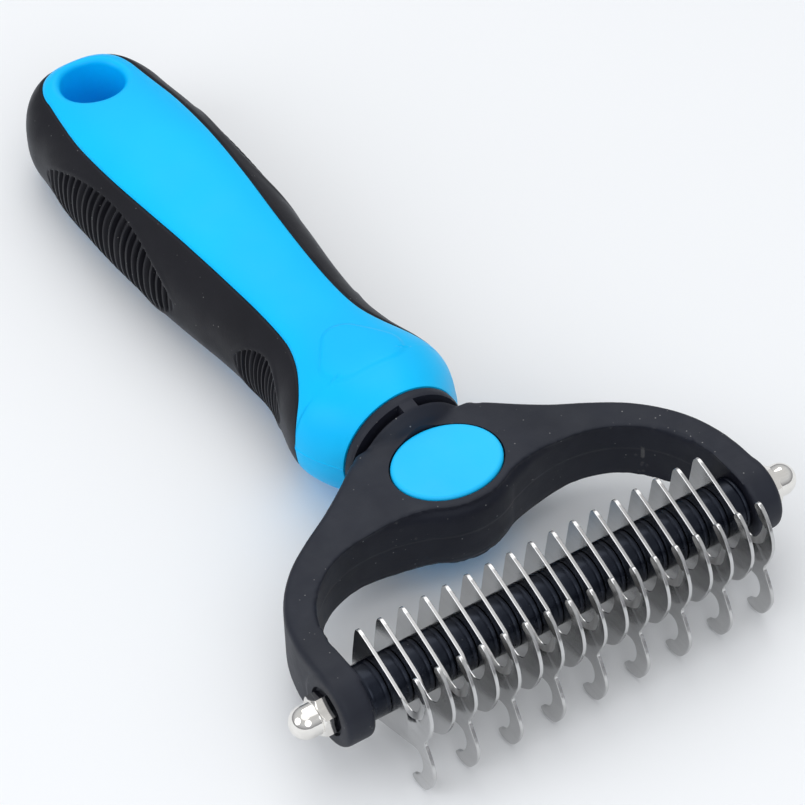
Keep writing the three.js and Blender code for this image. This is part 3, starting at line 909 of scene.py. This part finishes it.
def yoke():
    outer = open_spline(YOKE_OUTER, 8)
    inner = open_spline(YOKE_INNER[1:], 8)
    right = np.vstack([outer, [YOKE_INNER[0]], inner])
    left = right[:-1][::-1] * [-1, 1]
    outline = np.vstack([right, left])

    def edge_radius(loop):
        front = np.exp(-((loop[:, 0] / 15.0) ** 4)) * (loop[:, 1] < 32)
        return 1.0 + 1.9 * front

    arms = bevelled_slab("arms", outline, YOKE_HALF, edge_radius)
    hub = bevelled_slab("hub", ellipse(HUB_HALF_LENGTH, HUB_HALF_WIDTH, HUB_CENTRE_Y), YOKE_HALF, 2.8)
    body = join("yoke_moulding", [arms, hub])
    remesh(body, 0.4, 4)
    points = tool_points(body)
    reach = np.hypot(points[:, 0] / HUB_HALF_LENGTH, (points[:, 1] - HUB_CENTRE_Y) / HUB_HALF_WIDTH)
    points[:, 2] *= 1 + (HUB_HALF / YOKE_HALF - 1) * (1 - smoothstep(0.95, 1.9, reach))
    points[:, 2] *= 1 + (KNUCKLE_RADIUS / YOKE_HALF - 1) * (1 - smoothstep(0.0, 24.0, points[:, 1]))
    points[:, 2] *= np.sqrt(1 - (np.minimum(points[:, 1], 0) / KNUCKLE_RADIUS) ** 2)
    set_tool_points(body, points)

    flare = turned("flare", [
        (0, 30), (7.2, 36), (7.8, 39.4), (8.4, 40.6), (9.2, 41.5), (10.3, 42.3), (11.2, 42.8),
        (11.9, HUB_BACK_Y), (0, HUB_BACK_Y),
    ], "Y")
    collar = turned("collar", [
        (0, HUB_BACK_Y - 2), (COLLAR_CORE_RADIUS, HUB_BACK_Y - 2), (11.9, HUB_BACK_Y), (12.1, COLLAR_FRONT_Y),
        (COLLAR_RADIUS, COLLAR_FRONT_Y + 0.5), (COLLAR_RADIUS, COLLAR_BACK_Y - 0.2),
        (COLLAR_RADIUS - 0.2, COLLAR_BACK_Y), (0, COLLAR_BACK_Y),
    ], "Y")
    shank = turned("shank", [
        (0, 40), (SHANK_RADIUS, 40), (SHANK_RADIUS, 77.2), (6.2, SHANK_END_Y), (0, SHANK_END_Y),
    ], "Y")
    knuckles = []
    for side in (-1, 1):
        profile = [(0, KNUCKLE_INNER)]
        profile += rounded_corner(KNUCKLE_RADIUS, KNUCKLE_INNER, 0.9, 1, 6)
        profile += rounded_corner(KNUCKLE_RADIUS, KNUCKLE_OUTER, 1.0, -1, 6)[::-1]
        profile.append((0, KNUCKLE_OUTER))
        knuckles.append(turned("knuckle", [(r, side * s) for r, s in profile], "X"))
    body = join("yoke_moulding", [body, flare, collar, shank, *knuckles])
    remesh(body, 0.3, 5)
    soften_neck(body)

    # mould step half way down the inner walls
    points = tool_points(body)
    normals = np.empty(len(body.data.vertices) * 3)
    body.data.vertices.foreach_get("normal", normals)
    normals = normals.reshape(-1, 3)
    upright = 1 - smoothstep(0.2, 0.5, np.abs(normals[:, 2]))
    inside = (points[:, 1] < 27.5) & (np.abs(points[:, 0]) < 43) & (normals[:, 1] < 0.4)
    below = 1 - smoothstep(*MOULD_STEP_FADE, points[:, 2])
    step = MOULD_STEP * below * upright * inside * smoothstep(6.5, 9, points[:, 1])
    points = points - normals * step[:, None]
    set_tool_points(body, points)

    recess_floor = HUB_HALF - CAP_THICKNESS + CAP_RISE - CAP_GAP
    nut_floor = KNUCKLE_OUTER - NUT_RECESS_DEPTH
    cutters = []
    for side in (-1, 1):
        rim = ellipse(CAP_HALF_LENGTH + CAP_GAP, CAP_HALF_WIDTH + CAP_GAP, HUB_CENTRE_Y)
        rows = [np.column_stack([rim, np.full(len(rim), side * z)]) for z in (recess_floor, HUB_CUTTER_TOP)]
        n = len(rim)
        faces = grid_faces(2, n, close_columns=True) + [tuple(range(n)), tuple(range(2 * n - 1, n - 1, -1))]
        cutters.append(make_mesh("recess", np.vstack(rows), faces))
        cutters.append(turned("nut_recess", [
            (0, side * NUT_CUTTER_OUTER), (NUT_RECESS_RADIUS, side * NUT_CUTTER_OUTER),
            (NUT_RECESS_RADIUS, side * nut_floor), (BORE_RADIUS, side * nut_floor),
            (BORE_RADIUS, side * NUT_CUTTER_INNER), (0, side * NUT_CUTTER_INNER),
        ], "X"))
    for quarter in range(4):
        cutters.append(collar_window(quarter * pi / 2))
    cut(body, cutters)
    for polygon in body.data.polygons:
        polygon.use_smooth = True
    sharpen(body, 50)
    return body


def collar_window(start):
    """Cutter for the slot between two of the collar's four ribs."""
    core, outside = COLLAR_CORE_RADIUS, 15.0
    steps = 24
    rows = []
    for t in np.linspace(0, 1, steps + 1):
        for y in (HUB_BACK_Y, COLLAR_FRONT_Y):
            for r in (core, outside):
                side = np.arcsin(COLLAR_RIB_HALF / r)
                angle = start + side + t * (pi / 2 - 2 * side)
                rows.append((r * sin(angle), y, r * cos(angle)))
    faces = []
    for i in range(steps):
        a, b = 4 * i, 4 * i + 4
        for c, d in ((0, 1), (1, 3), (3, 2), (2, 0)):
            faces.append((a + c, a + d, b + d, b + c))
    end = 4 * steps
    faces += [(0, 1, 3, 2), (end, end + 1, end + 3, end + 2)]
    return make_mesh("window", rows, faces)


def hub_cap(side):
    """Oval insert with a flat face and a softly rounded rim."""
    top = HUB_HALF + CAP_RISE
    rim = anticlockwise(ellipse(CAP_HALF_LENGTH, CAP_HALF_WIDTH, HUB_CENTRE_Y, 220))
    inward = inward_normals(rim)
    rings = [(0.0, top - CAP_THICKNESS), (0.0, top - 1.2)]
    for a in np.linspace(0, pi / 2, 9):
        rings.append((CAP_EDGE * (1 - cos(a)), top - CAP_EDGE * (1 - sin(a))))
    rings += [(inset, top) for inset in (1.2, 2.2, 4.0)]
    rows = [np.column_stack([rim + inward * inset, np.full(len(rim), side * z)]) for inset, z in rings]
    n = len(rim)
    faces = grid_faces(len(rows), n, close_columns=True)
    faces += [tuple(range(n)), tuple((len(rows) - 1) * n + i for i in range(n))]
    cap = make_mesh("hub_cap_oval_" + ("top" if side > 0 else "bottom"), np.vstack(rows), faces)
    sharpen(cap, 40)
    return cap


# ---- blades ----
BLADE_TOOTH = [
    (-11.9, 12.2), (-12.3, 13.1), (-13.2, 13.2), (-14.6, 12.2), (-15.7, 10.8), (-16.7, 9.0), (-17.3, 7.1),
    (-17.4, 5.3), (-17.0, 3.3), (-16.2, 1.2), (-15.4, -0.4),
]
BLADE_HOOK = [
    (-15.2, -1.2), (-15.9, -2.4), (-16.8, -4.0), (-17.6, -5.8), (-17.8, -7.6), (-17.2, -9.6), (-16.2, -11.6),
    (-14.8, -13.1), (-12.8, -13.6), (-11.4, -13.4), (-10.8, -12.8), (-11.2, -12.1), (-12.6, -11.1),
    (-13.9, -9.2), (-14.4, -7.2), (-14.1, -5.6), (-13.3, -4.7), (-11.9, -4.6),
]
BLADE_ROUND_END = [(-14.6, -1.7), (-13.6, -2.8), (-12.4, -3.7), (-11.2, -4.5)]
BLADE_BACK = [
    (-9.8, -5.3), (-1.9, -7.8), (4.6, -9.9), (5.7, -9.6), (6.4, -8.2), (7.2, -4.2), (7.6, -0.7), (7.3, 2.2),
    (6.7, 5.7), (6.1, 8.7), (5.6, 9.4), (4.6, 9.6), (-2.4, 7.1), (-8.4, 4.4), (-9.6, 3.7), (-10.8, 3.45),
    (-12.0, 4.1), (-12.9, 5.5), (-13.6, 7.4), (-13.8, 9.2), (-13.3, 10.5), (-12.5, 11.3),
]
EDGE_BREAK = 0.08
# width of the ground bevel in a gullet, and what is left of the sheet at its edge
BEVEL_WIDTH_HOOKED = 1.7
BEVEL_WIDTH_PLAIN = 1.25
BEVEL_EDGE = 0.22
BORE_SEGMENTS = 48


def blade(number):
    """One blade: stamped profile, broken edges, and the gullets ground from one face."""
    hooked = number % 2 == 1
    profile = BLADE_TOOTH + (BLADE_HOOK if hooked else BLADE_ROUND_END) + BLADE_BACK
    loop = anticlockwise(closed_spline(profile, 10))
    inward = inward_normals(loop)
    grind = gullet_grind(loop, hooked)
    side = -1 if hooked else 1
    x0 = (number - MIDDLE_BLADE) * BLADE_PITCH
    half = BLADE_THICKNESS / 2
    width = EDGE_BREAK + (BEVEL_WIDTH_HOOKED if hooked else BEVEL_WIDTH_PLAIN) * grind
    sink = EDGE_BREAK + (BLADE_THICKNESS - BEVEL_EDGE) * np.minimum(grind * 1.4, 1)
    ground = loop + inward * width[:, None]
    plain = loop + inward * EDGE_BREAK
    rings = [
        np.column_stack([np.full(len(loop), x0 + side * half), ground]),
        np.column_stack([x0 + side * (half - sink), loop]),
        np.column_stack([np.full(len(loop), x0 - side * (half - EDGE_BREAK)), loop]),
        np.column_stack([np.full(len(loop), x0 - side * half), plain]),
    ]
    bm = bmesh.new()
    vertices = [[bm.verts.new(p) for p in ring] for ring in rings]
    n = len(loop)
    for r in range(3):
        for i in range(n):
            j = (i + 1) % n
            face = bm.faces.new((vertices[r][i], vertices[r][j], vertices[r + 1][j], vertices[r + 1][i]))
            face.material_index = 1 if r == 0 and max(grind[i], grind[j]) > 0.08 else 0
    bore = []
    for x in (x0 + side * half, x0 - side * half):
        angles = [2 * pi * k / BORE_SEGMENTS for k in range(BORE_SEGMENTS)]
        bore.append([bm.verts.new((x, BORE_RADIUS * cos(a), BORE_RADIUS * sin(a))) for a in angles])
    for i in range(BORE_SEGMENTS):
        j = (i + 1) % BORE_SEGMENTS
        bm.faces.new((bore[0][i], bore[0][j], bore[1][j], bore[1][i]))
    for ring, hole in ((vertices[0], bore[0]), (vertices[3], bore[1])):
        edges = []
        for chain in (ring, hole):
            for i in range(len(chain)):
                edges.append(bm.edges.get((chain[i], chain[(i + 1) % len(chain)])))
        bmesh.ops.triangle_fill(bm, use_beauty=True, edges=edges)
    bmesh.ops.recalc_face_normals(bm, faces=bm.faces)
    bm.normal_update()
    for edge in bm.edges:
        if len(edge.link_faces) == 2 and edge.calc_face_angle(0.0) > radians(24):
            edge.smooth = False
    for face in bm.faces:
        face.smooth = True
    mesh = bpy.data.meshes.new(f"blade_plate_{number:02d}")
    bm.to_mesh(mesh)
    bm.free()
    mesh.transform(TOOL_TO_ROW)
    obj = bpy.data.objects.new(mesh.name, mesh)
    bpy.context.scene.collection.objects.link(obj)
    mesh.materials.append(BLADE_STEEL)
    mesh.materials.append(GROUND_STEEL)
    return obj


def gullet_grind(loop, hooked):
    """0 to 1 along the outline: how far the edge there is ground back from the face."""
    y, z = loop[:, 0], loop[:, 1]
    gullet = (z > 3.2) & (np.hypot(y + 10.6, z - 8.0) < 5.2) & (y < -5.8) & (y > -14.2)
    if hooked:
        amount = smoothstep(8.0, 10.4, -y) * (0.55 + 0.45 * smoothstep(3.6, 6.0, z))
    else:
        amount = smoothstep(6.0, 9.0, -y)
    amount = amount * (1 - smoothstep(8.4, 10.4, z))
    return np.where(gullet, amount, 0.0)


# ---- spacers, shaft and nuts ----
def spacer(number):
    """Turned bush between two blades, with a fine groove near each end."""
    length = BLADE_PITCH - BLADE_THICKNESS - 2 * SPACER_GAP
    centre = (number - MIDDLE_BLADE - 0.5) * BLADE_PITCH
    if number in (1, BLADE_COUNT + 1):
        last_blade = (BLADE_COUNT - MIDDLE_BLADE) * BLADE_PITCH
        length = KNUCKLE_INNER - SPACER_GAP - last_blade - BLADE_THICKNESS / 2 - SPACER_GAP
        side = -1 if number == 1 else 1
        centre = side * (last_blade + BLADE_THICKNESS / 2 + SPACER_GAP + length / 2)
    half = length / 2
    left = [(BORE_RADIUS, -half)] + rounded_corner(SPACER_RADIUS, -half, 0.09, 1)
    groove = half - 0.78
    left += [
        (SPACER_RADIUS, -groove - 0.1), (SPACER_RADIUS - 0.04, -groove - 0.04),
        (SPACER_RADIUS - 0.04, -groove + 0.04), (SPACER_RADIUS, -groove + 0.12),
        (SPACER_RADIUS, -groove + 0.5), (SPACER_RADIUS, 0.0),
    ]
    profile = left + [(r, -s) for r, s in left[:-1][::-1]] + [left[0]]
    bush = turned(f"spacer_bush_{number:02d}", [(r, s + centre) for r, s in profile], "X")
    sharpen(bush, 35)
    return bush


def cap_nut(side):
    """Acorn nut: chamfered hexagon, short collar and dome, with a blind bore for the shaft end."""
    segments = 96
    angles = np.arange(segments) * 2 * pi / segments
    hexagon = NUT_HALF_FLATS / np.cos((angles + pi / 6) % (pi / 3) - pi / 6)
    corner = NUT_HALF_FLATS / cos(pi / 6)
    body = []
    for s in (0.0, 0.1, 0.2, 0.3, 0.4, 1.6, 2.8, 2.88, 2.96, 3.04, 3.12, 3.2):
        cone = corner - 0.34 * max(0.4 - s, 0) / 0.4 - 0.5 * max(s - 2.8, 0) / 0.4
        body.append((np.minimum(hexagon, cone), s))
    body += [(3.25, 3.22), (3.12, 3.3), (NUT_DOME_RADIUS, 3.45), (NUT_DOME_RADIUS, NUT_DOME_START)]
    for a in np.linspace(0, pi / 2, 16)[1:]:
        body.append((NUT_DOME_RADIUS * cos(a), NUT_DOME_START + NUT_DOME_RADIUS * sin(a)))
    bore = [(0, 5.6), (NUT_BORE_RADIUS, 5.6), (NUT_BORE_RADIUS, 0.3), (2.5, 0.0)]
    rows = bore + body
    grid = []
    for r, s in rows:
        r = np.broadcast_to(r, angles.shape)
        along = np.full(segments, side * (NUT_SEAT + s))
        grid.append(np.column_stack([along, r * np.cos(angles), r * np.sin(angles)]))
    faces = grid_faces(len(grid), segments, close_columns=True)
    nut = make_mesh("acorn_nut_" + ("right" if side > 0 else "left"), np.vstack(grid), faces, merge=0.0005)
    sharpen(nut, 22)
    return nut


# ---- assembly ----
def place(obj, nodes, slot, *materials):
    for material in materials:
        obj.data.materials.append(material)
    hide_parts(*nodes)
    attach(obj, "root")


place(handle_core(), ["handle_core"], "core_blue", CORE_BLUE)
place(handle_grip(), ["handle_grip"], "grip_rubber", GRIP_RUBBER)
place(yoke(), ["yoke"], "yoke_black", YOKE_BLACK)
place(hub_cap(1), ["hub_cap_top"], "cap_blue", CAP_BLUE)
place(hub_cap(-1), ["hub_cap_bottom"], "cap_blue", CAP_BLUE)
for number in range(1, BLADE_COUNT + 1):
    place(blade(number), [f"blade_{number:02d}"], "blade_steel")
for number in range(1, BLADE_COUNT + 2):
    place(spacer(number), [f"spacer_{number:02d}"], "spacer_black", SPACER_BLACK)
place(cap_nut(-1), ["cap_nut_left"], "nickel", NICKEL)
place(cap_nut(1), ["cap_nut_right"], "nickel", NICKEL)
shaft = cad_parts["shaft"]
for material_slot in shaft.material_slots:
    material_slot.material = NICKEL

# ---- stage ----
FLOOR_HALF = 3.0
floor_corners = [(x * FLOOR_HALF, y * FLOOR_HALF, 0) for x, y in ((-1, -1), (1, -1), (1, 1), (-1, 1))]
floor_mesh = bpy.data.meshes.new("floor")
floor_mesh.from_pydata(floor_corners, [], [(0, 1, 2, 3)])
floor = bpy.data.objects.new("floor", floor_mesh)
bpy.context.scene.collection.objects.link(floor)
PAPER, paper_tree, paper_shader = new_material("paper", Roughness=0.75)
paper_noise = noise(paper_tree, object_coords(paper_tree), 3.0)
paper_tone = ramp(paper_tree, paper_noise, [(0.3, (0.85, 0.865, 0.885)), (0.7, (0.87, 0.885, 0.905))])
paper_tree.links.new(paper_tone, paper_shader.inputs["Base Color"])
floor_mesh.materials.append(PAPER)

world = bpy.data.worlds.new("studio")
world.use_nodes = True
sky = world.node_tree
direction = sky.nodes.new("ShaderNodeTexCoord").outputs["Generated"]
height = sky.nodes.new("ShaderNodeSeparateXYZ")
sky.links.new(direction, height.inputs["Vector"])
tone = ramp(sky, height.outputs["Z"], [
    (0.0, (0.34, 0.35, 0.37)), (0.18, (0.62, 0.63, 0.66)), (0.45, (0.93, 0.95, 0.98)), (1.0, (1.0, 1.0, 1.0)),
])
sky.links.new(tone, sky.nodes["Background"].inputs["Color"])
sky.nodes["Background"].inputs["Strength"].default_value = 0.69
bpy.context.scene.world = world


def area_light(name, position, target, size, energy, colour=(1.0, 1.0, 1.0)):
    light = bpy.data.lights.new(name, "AREA")
    light.shape = "DISK"
    light.size = size
    light.energy = energy
    light.color = colour
    obj = bpy.data.objects.new(name, light)
    obj.location = position
    obj.rotation_euler = (Vector(target) - Vector(position)).to_track_quat("-Z", "Y").to_euler()
    bpy.context.scene.collection.objects.link(obj)


area_light("key", (0.30, 0.50, 0.95), (0, -0.02, 0), 0.8, 2.2, (1.0, 0.995, 0.98))
area_light("top", (-0.1, -0.1, 1.2), (0, 0, 0), 1.2, 2.2)
area_light("front", (-0.25, -1.0, 0.75), (0, -0.02, 0), 0.9, 2.9, (0.98, 0.99, 1.0))
area_light("side", (-0.95, 0.1, 0.55), (0, 0, 0), 0.8, 2.8, (0.97, 0.98, 1.0))
bpy.context.scene.view_settings.view_transform = "Standard"

# ---- camera ----
camera_data = bpy.data.cameras.new("camera")
camera_data.lens = 185.17
camera_data.sensor_width = 36.0
camera_data.clip_start = 0.01
camera = bpy.data.objects.new("camera", camera_data)
CAMERA_POSITION = (-0.28083, -0.47776, 0.55345)
AZIMUTH, ELEVATION, ROLL = radians(-32.084), radians(45.011), radians(-1.870)
back = Vector((sin(AZIMUTH) * cos(ELEVATION), -cos(AZIMUTH) * cos(ELEVATION), sin(ELEVATION)))
level = Vector((cos(AZIMUTH), sin(AZIMUTH), 0))
rise = back.cross(level)
right = cos(ROLL) * level + sin(ROLL) * rise
up = -sin(ROLL) * level + cos(ROLL) * rise
turn = Matrix((right, up, back)).transposed().to_4x4()
camera.matrix_world = Matrix.Translation(CAMERA_POSITION) @ turn
bpy.context.scene.collection.objects.link(camera)
bpy.context.scene.camera = camera
